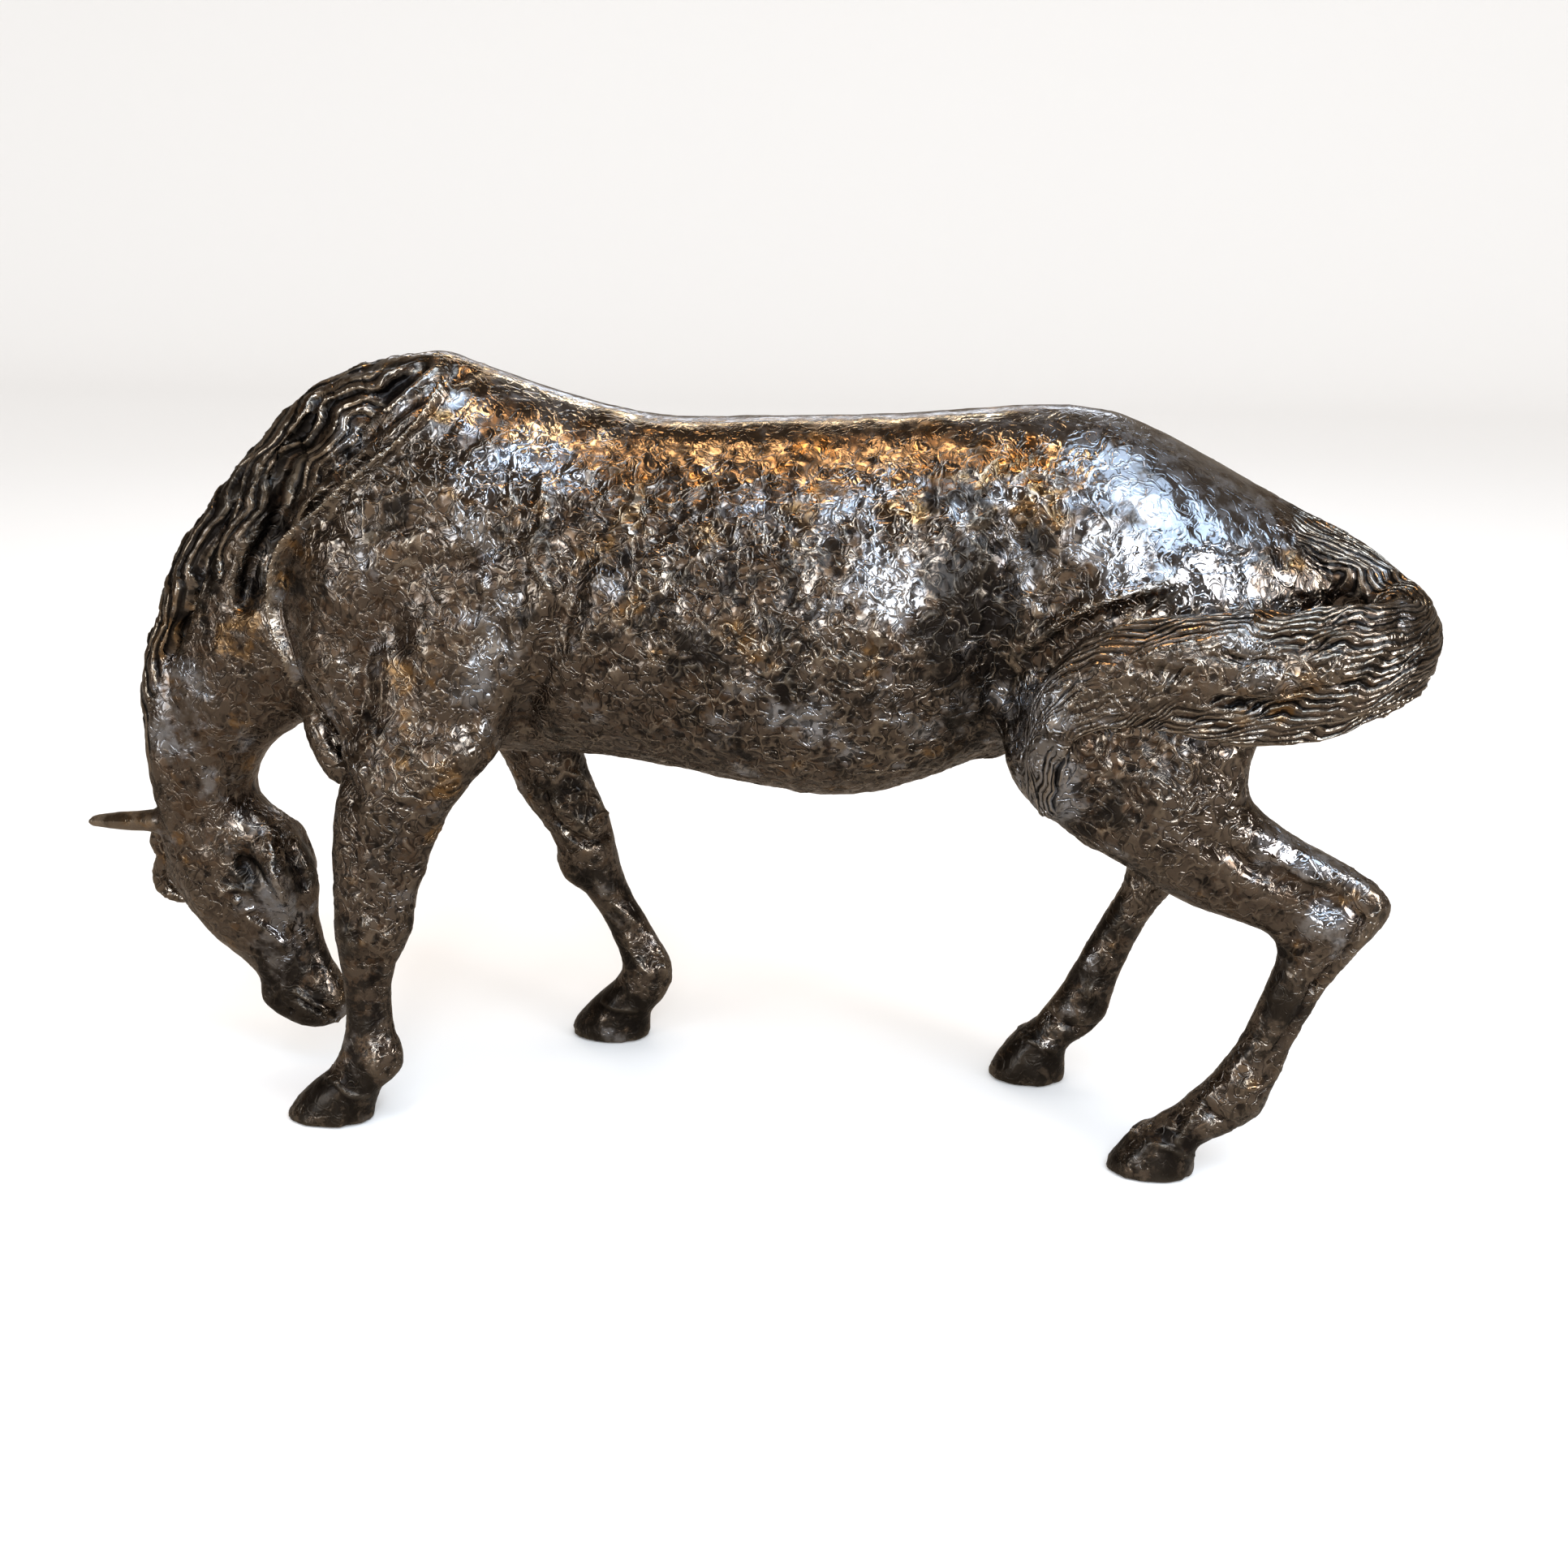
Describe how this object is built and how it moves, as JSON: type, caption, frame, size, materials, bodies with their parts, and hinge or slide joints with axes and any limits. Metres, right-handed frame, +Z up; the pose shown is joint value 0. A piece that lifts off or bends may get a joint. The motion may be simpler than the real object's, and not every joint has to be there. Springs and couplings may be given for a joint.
{
  "type": "horse statue",
  "caption": "Tabletop sculpture of a grazing horse with a lowered head and swept tail, cast in one piece and standing on its four hooves.",
  "frame": {"origin": "on the floor, below the middle of the figure's bounding box", "axes": "+X from the head end to the tail end, +Y to the horse's right side, +Z up"},
  "size_m": [0.748, 0.1812, 0.4205],
  "materials": {
    "polished_bronze": "dark brown-grey patinated bronze, rubbed to a polish over fine tool marks"
  },
  "bodies": {
    "root": {"horse": "polished_bronze"}
  },
  "joints": []
}
